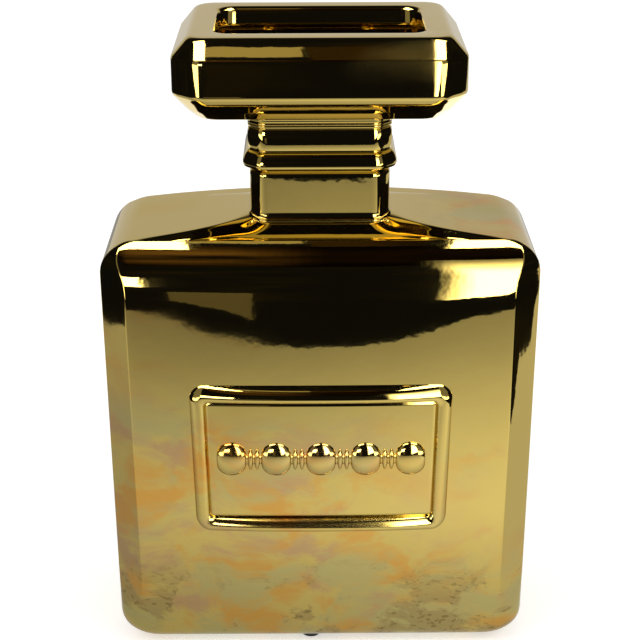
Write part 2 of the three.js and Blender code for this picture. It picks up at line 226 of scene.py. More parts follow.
def eased(height, reach):
    """Zero below 0 and the height itself above, with the bend rounded over the reach to both sides."""
    if height < -reach:
        return 0.0
    if height > reach:
        return height
    return (height + reach) ** 2 / (4 * reach)


def arc_point(start, corner, end, share):
    """Point on the curve that leaves start and reaches end along the two legs of a corner."""
    return between(between(start, corner, share), between(corner, end, share), share)


def quarter_ring(section):
    """Quarter of a ring, from the middle of the side to the middle of the back, with its fall."""
    width, depth, cut = section.half_width, section.half_depth, section.cut
    reach = min(section.reach, cut * FULL_ROUND)
    slant = reach * DIAGONAL
    side_corner = Point(width, depth - cut)
    side_end = Point(width - slant, depth - cut + slant)
    side = [Point(width, depth - cut - reach), side_corner, side_end]
    back_corner = Point(width - cut, depth)
    back_end = Point(width - cut - reach, depth)
    back = [Point(width - cut + slant, depth - slant), back_corner, back_end]
    plan = [Point(width, share * side[0].y) for share in shares(SIDE_STEPS)[:-1]]
    first = len(plan)
    plan += [arc_point(*side, share) for share in shares(EDGE_STEPS)]
    plan += [between(side[2], back[0], share) for share in shares(CUT_STEPS)[1:-1]]
    plan += [arc_point(*back, share) for share in shares(EDGE_STEPS)]
    last = len(plan) - 1
    plan += [Point(lerp(back[2].x, 0.0, share), depth) for share in shares(FACE_STEPS)[1:]]
    points = []
    for index, point in enumerate(plan):
        fall = section.dip * smooth(clamp((index - first) / (last - first)))
        points.append(Vector((point.x, point.y, section.z - fall)))
    return points


def ring(section):
    """All points of a section's ring, anticlockwise from the middle of the right side."""
    quarter = quarter_ring(section)
    mirrored = quarter[-2:0:-1]
    half = quarter + [Vector((-p.x, p.y, p.z)) for p in mirrored]
    return half + [Vector((-p.x, -p.y, p.z)) for p in half]


def loft(sections, closed):
    """Skin over a row of sections: one circle, laid into the first ring and extruded from ring to ring."""
    bm = bmesh.new()
    station = bm.verts.layers.int.new("station")
    rings = [ring(section) for section in sections]
    circle = bmesh.ops.create_circle(bm, cap_ends=False, segments=len(rings[0]), radius=1.0)["verts"]
    for index, vert in enumerate(circle):
        vert[station] = index
        vert.co = rings[0][index]
    first = edges = bm.edges[:]
    for points in rings[1:]:
        grown = bmesh.ops.extrude_edge_only(bm, edges=edges)["geom"]
        edges = [item for item in grown if isinstance(item, bmesh.types.BMEdge)]
        for item in grown:
            if isinstance(item, bmesh.types.BMVert):
                item.co = points[item[station]]
    if closed:
        bmesh.ops.bridge_loops(bm, edges=first + edges)
    else:
        bmesh.ops.edgeloop_fill(bm, edges=first)
        bmesh.ops.edgeloop_fill(bm, edges=edges)
    bmesh.ops.recalc_face_normals(bm, faces=bm.faces[:])
    return bm


def soft_path(keys):
    """Sections along a row of (section, ease) keys, each bend rounded over its ease to both sides."""
    path = [keys[0][0]]
    for (before, _), (here, ease), (after, _) in zip(keys, keys[1:], keys[2:]):
        start = between(here, before, min(ease / span(here, before), 0.5))
        end = between(here, after, min(ease / span(here, after), 0.5))
        path += [arc_point(start, here, end, share) for share in shares(FILLET_STEPS)]
    return path + [keys[-1][0]]


def span(first, second):
    """Distance between two sections in width, depth and level, never quite zero."""
    gaps = (first.half_width - second.half_width, first.half_depth - second.half_depth, first.z - second.z)
    return max(math.hypot(*gaps), TINY)


def new_object(name, bm, material):
    """Turns a bmesh into an object of the scene."""
    mesh = bpy.data.meshes.new(name)
    bm.to_mesh(mesh)
    bm.free()
    mesh.materials.append(material)
    made = bpy.data.objects.new(name, mesh)
    bpy.context.scene.collection.objects.link(made)
    return made


def finish_piece(bm, name, material, slot, *nodes):
    """Makes a smooth piece that rides on the vase and stands for its CAD nodes."""
    for face in bm.faces:
        face.smooth = True
    piece = new_object(name, bm, material)
    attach(piece, "root")
    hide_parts(*nodes)


def swell(bm):
    """Crowns the big faces: the middle comes forward and the rims draw back, up to the shoulder."""
    middle = (BASE_Z + SHOULDER_Z) / 2
    reach = (THROAT_Z - BASE_Z) / 2
    for vert in bm.verts:
        across = clamp(abs(vert.co.x) / FLASK_HALF_WIDTH)
        upward = clamp(abs(vert.co.z - middle) / reach)
        bulge = FACE_CROWN * (1 - across ** 2) * (1 - upward ** 2)
        below = clamp((SHOULDER_Z - vert.co.z) / TOP_BEVEL)
        vert.co.y *= 1 + (bulge - RIM_LOSS * below) / FLASK_HALF_DEPTH


def lift_back(bm):
    """Keeps the back half of the shoulder up to its edge, where the front falls to the apron."""
    for vert in bm.verts:
        behind = smooth(clamp(vert.co.y / BACK_BLEND))
        inward = max(1 - (vert.co.x / BACK_HALF_WIDTH) ** 2, 0.0)
        upward = clamp((vert.co.z - CREASE_Z) / TOP_BEVEL)
        lift = BACK_RISE * inward * upward - max(vert.co.z - SHOULDER_Z, 0.0)
        vert.co.z += behind * max(lift, 0.0)


# Flask
THROAT = Point(NECK_HALF_WIDTH + FOOT_PROUD + THROAT_LAND, THROAT_Z)
TURN = Point(THROAT.x + SHOULDER_TURN, SHOULDER_Z + SHOULDER_CROWN)  # where it turns up to the throat


def flask_wall(z, wall, draw_in):
    """Section of the flask at a level, drawn in by its round lower or upper corner."""
    floor = BASE_Z + (BASE_FLOOR if wall else 0.0)
    under = max(BASE_ROUND - (z - floor), 0.0)
    over_crease = z - CREASE_Z + wall * CREASE_SHIFT
    up_bevel = eased(over_crease, EDGE if wall else CREASE_SOFT) * FLASK_BEVEL / TOP_BEVEL
    crown = BEVEL_CROWN * math.sin(math.pi * clamp(up_bevel / FLASK_BEVEL))
    up_roll = clamp((z - ROLL_Z) / (SHOULDER_Z - ROLL_Z))
    roll = FACE_ROLL * math.sin(math.pi * up_roll) ** 2
    side = FLASK_HALF_WIDTH - FLASK_TAPER * (SHOULDER_Z - z) / FLASK_HEIGHT
    face = FLASK_HALF_DEPTH - wall - up_bevel + crown - roll
    depth = face - BASE_ROUND + math.sqrt(max(BASE_ROUND ** 2 - under ** 2, 0.0))
    cut = max(FLASK_BEVEL - wall * CUT_LOSS - up_bevel, SOFT_CUT)
    if wall:
        return Section(side - wall - draw_in, depth, cut, EDGE, z, 0.0)
    blend = smooth(clamp((z - floor) / BASE_BLEND))
    cut = lerp(BASE_CUT, cut, blend)
    return Section(side - draw_in, depth, cut, lerp(cut * FULL_ROUND, SIDE_SOFT, blend), z, 0.0)


def flask_sections(wall):
    """Sections from the base to the end of the shoulder's corner, outside or a wall inside."""
    base_corner = BASE_CORNER - wall
    corner = SHOULDER_CORNER - wall
    floor = BASE_Z + (BASE_FLOOR if wall else 0.0)
    top = SHOULDER_Z - wall
    quarter = math.pi / 2
    rise = math.atan2(SHOULDER_CROWN, FLASK_HALF_WIDTH - SHOULDER_CORNER - TURN.x)
    sections = []
    for share in shares(CORNER_LEVELS):
        angle = quarter * share
        level = floor + base_corner * (1 - math.cos(angle))
        sections.append(flask_wall(level, wall, base_corner * (1 - math.sin(angle))))
    for share in shares(WALL_LEVELS)[1:-1]:
        sections.append(flask_wall(lerp(floor + base_corner, top - corner, share), wall, 0.0))
    for share in shares(CREST_LEVELS):
        angle = (quarter - rise) * share
        level = top - corner * (1 - math.sin(angle))
        sections.append(flask_wall(level, wall, corner * (1 - math.cos(angle))))
    return sections


def shoulder_sections(wall, start):
    """Sections over the crowned shoulder. Front and back follow the apron up to the neck's seat."""
    first = Point(start.half_width, start.z)
    turn = Point(TURN.x, TURN.y - wall)
    last = Point(THROAT.x - (FOOT_PROUD if wall else 0.0), THROAT.y - wall)
    throat_depth = NECK_HALF_DEPTH + FOOT_PROUD + THROAT_APRON - wall
    sections = []
    for along in shares(SHOULDER_LEVELS)[1:]:
        point = arc_point(first, turn, last, along)
        narrowing = along ** SHOULDER_HOLD
        front = lerp(start.z, last.y - SADDLE_DIP, narrowing ** APRON_SWEEP)
        dip = max(point.y - front, 0.0)
        cut = lerp(SOFT_CUT, NECK_CUT, narrowing) + dip
        depth = lerp(start.half_depth, throat_depth, narrowing)
        sections.append(Section(point.x, depth, cut, lerp(EDGE, NECK_CUT, narrowing), point.y, dip))
    return sections


def neck_section(offset, z, dip=0.0, lean=0.0):
    """Section of the neck, offset outwards, or inwards for its bore."""
    cut = max(NECK_CUT + offset * CUT_LOSS, SOFT_CUT)
    return Section(NECK_HALF_WIDTH + offset, NECK_HALF_DEPTH + offset + lean, cut, NECK_EDGE, z, dip)


def flask():
    """Hollow flask: its outside, the neck's seat, and its inside a wall further in."""
    outside = flask_sections(0.0)
    outside += shoulder_sections(0.0, outside[-1])
    inside = flask_sections(WALL)
    inside += shoulder_sections(WALL, inside[-1])
    seat = neck_section(FOOT_PROUD, THROAT_Z, SADDLE_DIP)
    bore_levels = (THROAT_Z - THROAT_BORE, THROAT_Z)
    bore = [neck_section(-WALL, level, SADDLE_DIP) for level in bore_levels]
    bm = loft(outside + [seat] + (inside + bore)[::-1], closed=False)
    swell(bm)
    lift_back(bm)
    return bm


# Neck
def half_round(relief, z, height, skew=1.0):
    """Half-round moulding as offsets and levels, without its ends. A skew above 1 brings its crest down."""
    moulding = []
    for share in shares(MOULDING_STEPS)[1:-1]:
        angle = math.pi * share
        level = z + height * ((1 - math.cos(angle)) / 2) ** skew
        moulding.append((relief * math.sin(angle), level))
    return moulding


def neck():
    """Hollow neck: saddle-shaped foot, leaning panel, bead, swelling band, collar and bore."""
    sections = []
    for share in shares(2 * FILLET_STEPS):
        angle = math.pi / 2 * share
        level = NECK_Z + FOOT_HEIGHT * (1 - math.cos(angle))
        offset = FOOT_PROUD * (1 - math.sin(angle))
        sections.append(neck_section(offset, level, SADDLE_DIP, -PANEL_LEAN * math.sin(angle)))
    panel_end = PANEL_TOP_Z - PANEL_ROUND
    for share in shares(MOULDING_STEPS)[1:]:
        level = lerp(NECK_Z + FOOT_HEIGHT, panel_end, share)
        lean = lerp(-PANEL_LEAN, PANEL_LEAN, share)
        sections.append(neck_section(0.0, level, SADDLE_DIP * (1 - share), lean))
    for share in shares(FILLET_STEPS)[1:]:
        angle = math.pi / 2 * share
        level = panel_end + PANEL_ROUND * math.sin(angle)
        offset = -PANEL_ROUND * (1 - math.cos(angle))
        sections.append(neck_section(offset, level, 0.0, PANEL_LEAN * (1 - share)))
    profile = [(-PANEL_ROUND, BEAD_Z)]
    profile += half_round(BEAD_PROUD, BEAD_Z, BEAD_HEIGHT, BEAD_SKEW)
    sections += [neck_section(offset, level) for offset, level in profile]
    for offset, level in half_round(BAND_SWELL, BAND_Z, COLLAR_Z - BAND_Z):
        lean = lerp(-BAND_LEAN, BAND_LEAN, (level - BAND_Z) / (COLLAR_Z - BAND_Z))
        sections.append(neck_section(offset, level, 0.0, lean))
    collar = [
        (neck_section(0.0, COLLAR_Z), 0.0),
        (neck_section(FOOT_PROUD, COLLAR_Z + COLLAR_SLOPE), EDGE / 2),
        (neck_section(FOOT_PROUD, NECK_TOP_Z), 0.0),
    ]
    sections += soft_path(collar)
    sections += [neck_section(-WALL, NECK_TOP_Z), neck_section(-WALL, NECK_Z, SADDLE_DIP)]
    return loft(sections, closed=True)


# Head
def inset(section, by, z):
    """The section moved in by a wall, at another level."""
    cut = max(section.cut - by * CUT_LOSS, SOFT_CUT)
    return Section(section.half_width - by, section.half_depth - by, cut, section.reach, z, 0.0)


def head():
    """Hollow head: foot, flare, rounded underside, bevels, rim with rolled lip, hollow and bore."""
    foot = neck_section(FOOT_PROUD, HEAD_Z)
    flare_z = HEAD_Z + HEAD_FOOT_HEIGHT
    underside_z = flare_z + HEAD_FLARE_HEIGHT
    bevel_z = underside_z + SLOPE_HEIGHT
    face_z = bevel_z + LOWER_BEVEL_HEIGHT
    top_z = RIM_Z - UPPER_BEVEL_HEIGHT
    underside = Section(
        UNDERSIDE_HALF_WIDTH, UNDERSIDE_HALF_DEPTH, UNDERSIDE_CUT, HEAD_EDGE, underside_z, 0.0
    )
    face = Section(HEAD_HALF_WIDTH, HEAD_HALF_DEPTH, HEAD_CUT, HEAD_EDGE, face_z, 0.0)
    slope_top = inset(face, LOWER_BEVEL_RUN, bevel_z)._replace(cut=HEAD_CUT)
    belly = between(underside, slope_top, 0.5)._replace(z=lerp(underside_z, bevel_z, SLOPE_BELLY))
    face_top = face._replace(z=top_z)
    rim = inset(face, UPPER_BEVEL_RUN, RIM_Z)._replace(cut=RIM_CUT)
    mouth = Section(MOUTH_HALF_WIDTH, MOUTH_HALF_DEPTH, MOUTH_CUT, MOUTH_CUT * FULL_ROUND, RIM_Z, 0.0)
    lip_under = RIM_Z - LIP_DEPTH
    keys = [
        (foot, 0.0),
        (foot._replace(z=flare_z), HEAD_FOOT_HEIGHT),
        (underside, EDGE),
        (belly, EDGE),
        (slope_top, EDGE),
        (face, EDGE),
        (face_top, EDGE),
        (rim, LIP_ROUND),
        (mouth, LIP_ROUND),
        (mouth._replace(z=lip_under), EDGE),
        (inset(face_top, WALL + HOLLOW_EASE, lip_under), EDGE),
        (inset(face_top, WALL, lip_under - HOLLOW_EASE), EDGE),
        (inset(face, WALL, face_z + HOLLOW_LIFT), EDGE),
        (inset(underside, FLOOR_INSET, underside_z + HEAD_FLOOR), EDGE),
        (neck_section(BORE_EASE - WALL, flare_z + HEAD_FLOOR), EDGE),
        (neck_section(-WALL, flare_z + HEAD_FLOOR - BORE_EASE), EDGE),
        (neck_section(-WALL, HEAD_Z), 0.0),
    ]
    bm = loft(soft_path(keys), closed=True)
    for vert in bm.verts:
        share = max((vert.co.z - top_z) / UPPER_BEVEL_HEIGHT, 0.0)
        vert.co.y += share * (RIM_SETBACK + RIM_STRETCH * vert.co.y)
    return bm


# Joining slip
def slip_joint(low_z, high_z, dip, proud):
    """Ring of slip between two castings, sponged to a soft bead outside and flush with the bore inside."""
    middle = (low_z + high_z) / 2
    outer = []
    for share in shares(MOULDING_STEPS):
        angle = math.pi * (share - 0.5)
        level = middle + (high_z - low_z + SLIP_ROUND) / 2 * math.sin(angle)
        outer.append(neck_section(proud - SLIP_ROUND * (1 - math.cos(angle)), level, dip))
    inner = [neck_section(-WALL, high_z, dip), neck_section(-WALL, low_z, dip)]
    return loft(outer + inner, closed=True)


# Plaque and ornament
def stand_on_face(bm, low, high):
    """Turns a relief that lies on its back to face the front, and seats it on the crowned face."""
    turn = Matrix.Rotation(math.pi / 2, 4, "X")
    place = Matrix.Translation(Vector((0.0, high.y, (low.z + high.z) / 2)))
    bmesh.ops.transform(bm, matrix=place @ turn, verts=bm.verts[:])
    swell(bm)


def plaque():
    """Border of rounded bars round a plate, sagged, lower at its ends and narrower at its lower edge."""
    half_width = (plaque_high.x - plaque_low.x) / 2 - PLAQUE_DRAW_IN
    half_height = (plaque_high.z - plaque_low.z) / 2
    crest = plaque_high.y - plaque_low.y + BAR_LIFT
    inner_edge = BAR_OUTSIDE + BAR_RADIUS * math.sin(BAR_TURN)
    plate_z = crest - BAR_RADIUS * (1 - math.cos(BAR_TURN))

    def moved_in(by, z):
        cut = max(PLAQUE_CUT - by * CUT_LOSS, SOFT_CUT)
        return Section(half_width - by, half_height - by, cut, cut * FULL_ROUND, z, 0.0)

    sections = []
    for share in shares(MOULDING_STEPS):
        angle = math.pi / 2 * share
        level = lerp(-PLAQUE_SINK, crest, math.sin(angle))
        sections.append(moved_in(BAR_OUTSIDE * (1 - math.cos(angle)), level))
    for share in shares(MOULDING_STEPS)[1:]:
        angle = BAR_TURN * share
        level = crest - BAR_RADIUS * (1 - math.cos(angle))
        sections.append(moved_in(BAR_OUTSIDE + BAR_RADIUS * math.sin(angle), level))
    sections.append(sections[-1]._replace(z=-PLAQUE_SINK))
    bm = loft(sections, closed=True)
    plate = bmesh.ops.create_grid(bm, x_segments=PLATE_STEPS[0], y_segments=PLATE_STEPS[1], size=1.0)["verts"]
    bmesh.ops.scale(bm, vec=(half_width - inner_edge, half_height - inner_edge, 1), verts=plate)
    bmesh.ops.translate(bm, vec=(0, 0, plate_z), verts=plate)
    faces = list({face for vert in plate for face in vert.link_faces})
    grown = bmesh.ops.extrude_face_region(bm, geom=faces, use_keep_orig=True)["geom"]
    rear = [item for item in grown if isinstance(item, bmesh.types.BMVert)]
    bmesh.ops.translate(bm, vec=(0, 0, -plate_z), verts=rear)
    bmesh.ops.recalc_face_normals(bm, faces=bm.faces[:])
    for vert in bm.verts:
        to_end = min(abs(vert.co.x) / half_width, 1.0)
        vert.co.y -= PLAQUE_SAG * (vert.co.z + PLAQUE_SINK)
        vert.co.z -= PLAQUE_END_DROP * to_end ** 3 * max(vert.co.z, 0.0) / crest
        vert.co.x *= 1 + PLAQUE_DRAW_IN / half_width * vert.co.y / half_height
    stand_on_face(bm, plaque_low, plaque_high)
    return bm


def ornament():
    """Bead-and-reel strip: a turned profile spun into a rod, flattened and cut off at the plate."""
    length = ornament_high.x - ornament_low.x
    height = ornament_high.z - ornament_low.z
    proud = ornament_high.y - ornament_low.y
    reel_span = REELS_BETWEEN * (REEL_LENGTH + STRING_LENGTH) + STRING_LENGTH
    pearl_length = (length - (PEARL_COUNT - 1) * reel_span) / PEARL_COUNT
    profile = []

    def turned(x, size, tall, steps):
        for share in shares(steps):
            angle = math.pi * share
            radius = lerp(STRING_HEIGHT, tall, math.sin(angle)) / 2
            profile.append(Vector((x + size * (1 - math.cos(angle)) / 2, 0.0, radius)))

    x = -length / 2
    for pearl in range(PEARL_COUNT):
        turned(x, pearl_length, height, PEARL_STEPS)
        x += pearl_length
        for _ in range(REELS_BETWEEN if pearl < PEARL_COUNT - 1 else 0):
            x += STRING_LENGTH
            turned(x, REEL_LENGTH, REEL_HEIGHT, REEL_STEPS)
            x += REEL_LENGTH
        x += STRING_LENGTH
    bm = bmesh.new()
    verts = [bm.verts.new(point) for point in profile]
    line = [bm.edges.new(pair) for pair in zip(verts, verts[1:])]
    spin_axis = {"cent": (0, 0, 0), "axis": (1, 0, 0), "angle": 2 * math.pi, "steps": TURN_STEPS}
    bmesh.ops.spin(bm, geom=verts + line, use_merge=True, **spin_axis)
    bmesh.ops.remove_doubles(bm, verts=bm.verts[:], dist=TINY)
    bmesh.ops.holes_fill(bm, edges=bm.edges[:])
    bmesh.ops.scale(bm, vec=(1, 1, 2 * proud / height), verts=bm.verts[:])
    everything = bm.verts[:] + bm.edges[:] + bm.faces[:]
    cut = bmesh.ops.bisect_plane(
        bm, geom=everything, plane_co=(0, 0, -PLATE / 2), plane_no=(0, 0, 1), clear_inner=True
    )
    rims = [item for item in cut["geom_cut"] if isinstance(item, bmesh.types.BMEdge)]
    bmesh.ops.edgeloop_fill(bm, edges=rims)
    bmesh.ops.recalc_face_normals(bm, faces=bm.faces[:])
    stand_on_face(bm, ornament_low, ornament_high)
    return bm


# Pads
def pad(node):
    """Stick-on pad: a disc with rounded edges, a little tapered by its mould."""
    low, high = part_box(node)
    radius = (high.x - low.x) / 2
    bm = bmesh.new()
    cone = {"radius1": radius * PAD_TAPER, "radius2": radius, "depth": high.z - low.z}
    bmesh.ops.create_cone(bm, cap_ends=True, segments=PAD_SEGMENTS, **cone)
    rims = [edge for edge in bm.edges if abs(edge.verts[0].co.z - edge.verts[1].co.z) < TINY]
    rounding = {"offset": PAD_EDGE, "segments": PAD_EDGE_STEPS, "profile": 0.5}
    bmesh.ops.bevel(bm, geom=rims, affect="EDGES", material=-1, **rounding)
    bmesh.ops.translate(bm, vec=(low + high) / 2, verts=bm.verts[:])
    return bm


# Materials
def linear(code):
    """Linear colour of an sRGB hex code."""
    channels = [int(code[place:place + 2], 16) / 255 for place in (1, 3, 5)]
    return [c / 12.92 if c <= 0.04045 else ((c + 0.055) / 1.055) ** 2.4 for c in channels] + [1.0]


def add(tree, kind, inputs=None, **settings):
    """Adds a node with its settings. An input takes a value, or the socket that it is linked to."""
    node = tree.nodes.new(kind)
    for name, value in settings.items():
        setattr(node, name, value)
    for name, value in (inputs or {}).items():
        if isinstance(value, bpy.types.NodeSocket):
            tree.links.new(value, node.inputs[name])
        else:
            node.inputs[name].default_value = value
    return node


def new_material(name):
    material = bpy.data.materials.new(name)
    material.use_nodes = True
    tree = material.node_tree
    return material, tree, tree.nodes["Principled BSDF"]


def per_mm(size):
    """Pattern scale for features of a size in millimetres."""
    return 1 / (size * MM)


def noise(tree, place, size, detail, roughness=0.5):
    """Outputs of a noise pattern with features of a size in millimetres."""
    pattern = {"Vector": place, "Scale": per_mm(size), "Detail": detail, "Roughness": roughness}
    return add(tree, "ShaderNodeTexNoise", pattern).outputs


def ramp(tree, value, start, end, first=0.0, last=1.0, soft=False):
    """Goes from first to last while the value goes from start to end, and stays level outside."""
    ends = {"Value": value, "From Min": start, "From Max": end, "To Min": first, "To Max": last}
    kind = "SMOOTHSTEP" if soft else "LINEAR"
    return add(tree, "ShaderNodeMapRange", ends, interpolation_type=kind).outputs["Result"]


def calculate(tree, operation, *values):
    return add(tree, "ShaderNodeMath", dict(enumerate(values)), operation=operation).outputs["Value"]


def mix(tree, share, first, second):
    """Colour a share of the way from the first to the second."""
    colours = {"Factor": share, "A": first, "B": second}
    return add(tree, "ShaderNodeMix", colours, data_type="RGBA").outputs["Result"]


def bump(tree, height, depth, **under):
    """Normal of a height pattern, over another normal if one is given."""
    relief = {"Height": height, "Distance": depth, "Strength": 1.0, **under}
    return add(tree, "ShaderNodeBump", relief).outputs["Normal"]


# Lustre film. Sizes are in millimetres, and edges are the noise values between which a pattern sets in.
FILM_TINTS = (("Red", "#B89468"), ("Green", "#CB9747"), ("Blue", "#B6A96A"))  # lilac-tan, orange, grey-green
FLOW_SIZE = 50
FLOW_PULL = (0.045, 0.03, 0.04)
CLOUD_SIZE = 25
CLOUD_SHAPE = (0.7, 1.0, 1.3)  # wider than high
CLOUD_EDGE = (0.46, 0.62)
CLOUD_SHARE = 0.9
STAIN_SIZE = 60
STAIN_TOP = 130 * MM  # end of the stains near the base, on the middle line
STAIN_SLANT = 0.45  # they reach higher on the left
STAIN_UNEVEN = 1.6
STAIN_EDGE = (0.9, 1.35)
STAIN_DULL = 0.1  # roughness that a full stain adds
SHOULDER_STAIN = (62 * MM, 4 * MM, 174 * MM)
SHOULDER_STAIN_EDGE = (45 * MM, 10 * MM)  # distances from its middle, from none to all of it
SHOULDER_STAIN_SHARE = 0.6
CRACKLE_SIZE = 34
CRACKLE_EDGE = (0.5, 0.54)
CRACKLE_SHARE = 0.7
CRACKLE_LEVELS = (42 * MM, 22 * MM)  # from none to all of it
CRACKLE_DULL = "#A28C58"
FLECK_SIZE = 2.2
FLECK_EDGE = (0.55, 0.62)
FLECK_BROWN = "#806A3A"
DUST_CELL = 11
DUST_RADIUS = 0.015  # of a cell
DUST_SHARE = 0.5  # of the cells stay clean
DUST_GREY = "#C9C2AC"
WAVE_SIZE = 30
WAVE_DEPTH = 0.1 * MM
SKIN_SIZE = 6
SKIN_DEPTH = 0.015 * MM


def lustre(name, gold, shine):
    """Fired gold lustre over glazed earthenware: a thin metal film, so it mirrors. The film's thickness
    varies towards the base, which gives clouds of orange, lilac and grey-green with crackled brown patches.
    The glaze under it is a little wavy, with an orange-peel skin and some dust specks fired in."""
    material, tree, shader = new_material(name)
    place = add(tree, "ShaderNodeTexCoord").outputs["Object"]
    axes = add(tree, "ShaderNodeSeparateXYZ", {"Vector": place}).outputs

    # Clouds, drawn out by a slower flow
    flow = noise(tree, place, FLOW_SIZE, 2.0)["Color"]
    flat = add(tree, "ShaderNodeVectorMath", {0: place, 1: CLOUD_SHAPE}, operation="MULTIPLY")
    pull = {0: flow, 1: FLOW_PULL, 2: flat.outputs["Vector"]}
    bent = add(tree, "ShaderNodeVectorMath", pull, operation="MULTIPLY_ADD").outputs["Vector"]
    film = noise(tree, bent, CLOUD_SIZE, 6.0, 0.6)["Color"]
    clouds = add(tree, "ShaderNodeSeparateColor", {"Color": film}).outputs

    # Where the film is stained: near the base, higher up on the left, and in a patch on the right shoulder
    slanted = calculate(tree, "MULTIPLY_ADD", axes["X"], STAIN_SLANT, axes["Z"])
    low_down = ramp(tree, slanted, STAIN_TOP, 0.0)
    spot = add(tree, "ShaderNodeVectorMath", {0: place, 1: SHOULDER_STAIN}, operation="DISTANCE")
    near_spot = ramp(tree, spot.outputs["Value"], *SHOULDER_STAIN_EDGE, last=SHOULDER_STAIN_SHARE)
    places = calculate(tree, "MAXIMUM", low_down, near_spot)
    patches = noise(tree, bent, STAIN_SIZE, 5.0)["Fac"]
    uneven = calculate(tree, "MULTIPLY_ADD", patches, STAIN_UNEVEN, places)
    stain = ramp(tree, uneven, *STAIN_EDGE, soft=True)
    colour = linear(gold)
    for channel, tint in FILM_TINTS:
        cloud = ramp(tree, clouds[channel], *CLOUD_EDGE, last=CLOUD_SHARE, soft=True)
        colour = mix(tree, calculate(tree, "MULTIPLY", cloud, stain), colour, linear(tint))

    # Patches near the base where the film has crackled: duller, with ragged edges and brown flecks of 1 mm
    ragged = noise(tree, bent, CRACKLE_SIZE, 9.0, 0.66)["Fac"]
    torn = ramp(tree, ragged, *CRACKLE_EDGE, last=CRACKLE_SHARE)
    patch = calculate(tree, "MULTIPLY", torn, ramp(tree, axes["Z"], *CRACKLE_LEVELS))
    colour = mix(tree, patch, colour, linear(CRACKLE_DULL))
    flecks = ramp(tree, noise(tree, bent, FLECK_SIZE, 3.0)["Fac"], *FLECK_EDGE)
    colour = mix(tree, calculate(tree, "MULTIPLY", flecks, patch), colour, linear(FLECK_BROWN))

    # Dust specks: every other cell holds a grain of a third of a millimetre, which isn't metal
    dust = add(tree, "ShaderNodeTexVoronoi", {"Vector": place, "Scale": per_mm(DUST_CELL)}).outputs
    grain = calculate(tree, "LESS_THAN", dust["Distance"], DUST_RADIUS)
    pick = add(tree, "ShaderNodeSeparateColor", {"Color": dust["Color"]}).outputs["Red"]
    speck = calculate(tree, "MULTIPLY", grain, calculate(tree, "GREATER_THAN", pick, DUST_SHARE))
    colour = mix(tree, speck, colour, linear(DUST_GREY))
    tree.links.new(colour, shader.inputs["Base Color"])
    tree.links.new(calculate(tree, "SUBTRACT", 1.0, speck), shader.inputs["Metallic"])

    # The stained film is duller
    tree.links.new(ramp(tree, stain, 0.0, 1.0, shine, shine + STAIN_DULL), shader.inputs["Roughness"])

    # Slow waves of the glaze under its orange-peel skin
    waves = bump(tree, noise(tree, place, WAVE_SIZE, 1.0)["Fac"], WAVE_DEPTH)
    skin = bump(tree, noise(tree, place, SKIN_SIZE, 2.0)["Fac"], SKIN_DEPTH, Normal=waves)
    tree.links.new(skin, shader.inputs["Normal"])
    return material


SAND_SIZE = 0.5
SAND_DEPTH = 0.05 * MM


def moulded_rubber():
    """Black stick-on pad of moulded rubber: matt, with a fine sandy skin and dust in it."""
    material, tree, shader = new_material("moulded_rubber")
    place = add(tree, "ShaderNodeTexCoord").outputs["Object"]
    sand = noise(tree, place, SAND_SIZE, 3.0)["Fac"]
    tree.links.new(mix(tree, sand, linear("#100F0E"), linear("#2A2826")), shader.inputs["Base Color"])
    tree.links.new(bump(tree, sand, SAND_DEPTH), shader.inputs["Normal"])
    shader.inputs["Roughness"].default_value = 0.8
    return material


# The vase
glaze = lustre("gold_lustre_glaze", "#C6AE60", 0.03)
slip = lustre("gold_lustre_slip", "#B59C54", 0.12)
rubber = moulded_rubber()
finish_piece(flask(), "flask", glaze, "gold_lustre_glaze", "body_casting")
finish_piece(neck(), "neck", glaze, "gold_lustre_glaze", "neck_casting")
finish_piece(head(), "head", glaze, "gold_lustre_glaze", "head_casting")
finish_piece(plaque(), "plaque", glaze, "gold_lustre_glaze", "label_plaque")
finish_piece(ornament(), "bead_and_reel", glaze, "gold_lustre_glaze", "label_ornament")
lower = slip_joint(THROAT_Z, NECK_Z, SADDLE_DIP, SLIP_PROUD)
finish_piece(lower, "lower_slip", slip, "joint_slip", "lower_slip_joint")
upper = slip_joint(NECK_TOP_Z, HEAD_Z, 0.0, FOOT_PROUD)
finish_piece(upper, "upper_slip", slip, "joint_slip", "upper_slip_joint")
for pad_node in ("foot_pad_front", "foot_pad_rear_left", "foot_pad_rear_right"):
    finish_piece(pad(pad_node), pad_node.replace("foot_pad", "pad"), rubber, "pad_rubber", pad_node)


# Studio: a white floor and background for the camera, and for reflections a dark room with a table,
# a backdrop, softboxes and smaller cards.
ROOM_RADIUS = 2.4
ROOM_SEGMENTS = (48, 24)
ROOM_CLOUD_SIZE = 1000 / 3  # in millimetres
ROOM_CLOUD_EDGE = (0.45, 0.75)
FLOOR_SIZE = 3.0
FLOOR_GLOW = 0.5
SHADE_LIGHT = 0.6  # the white world's light on the floor, of 1 where it is seen
TABLE_Z = 0.5 * MM
TABLE_RIGHT = 0.28
BACKDROP_Y = 1.6
SOFTBOX_Y = -0.72
DIM_CARD_Y = -0.46
OVERHEAD_Z = 1.15
CEILING_Z = 1.3
SPOT_RADIUS = 0.152
SPOT_SEGMENTS = 64
SPOT_SHAPE = (1.12, 1, 1)
SPOT_PLACE = (0, -0.55, 1 * MM)
LAMP_TARGET = Vector((0, 0, 0.1))
LAMP_SIZE = 0.6
LAMP_ENERGY = 3.0
DARK = "#15161D"
WHITE = "#FFFBF0"
PAPER = "#FFFFFF"

Card = namedtuple("Card", "low high colour strength drop fades cloud", defaults=(0.0, (), None))
Fade = namedtuple("Fade", "axis start end first last")


def stage_object(name, bm, material):
    made = new_object(name, bm, material)
    return made


